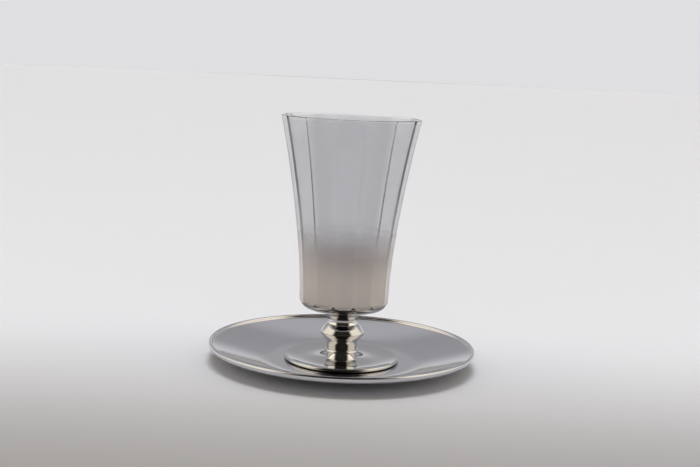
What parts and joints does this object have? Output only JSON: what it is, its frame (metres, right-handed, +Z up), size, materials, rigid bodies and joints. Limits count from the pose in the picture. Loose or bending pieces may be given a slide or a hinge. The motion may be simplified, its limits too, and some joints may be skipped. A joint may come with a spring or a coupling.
{
  "type": "kiddush cup",
  "caption": "Fluted flared glass kiddush cup with silver ombre shading on a turned mirror-plated stem and foot, standing on a round polished saucer.",
  "frame": {"origin": "centre of the saucer's flat underside, on the axis of the cup", "axes": "+Z up along the cup's axis, with one flute facing -Y"},
  "size_m": [0.14, 0.14, 0.1294],
  "materials": {
    "saucer_plate": "polished, lightly brushed",
    "stem_plate": "mirror plated",
    "ombre_glass": "clear fluted glass with a silvery film that fades towards the lip"
  },
  "bodies": {
    "root": {"saucer": "saucer_plate", "stem_and_foot": "stem_plate", "beaker": "ombre_glass"}
  },
  "joints": []
}
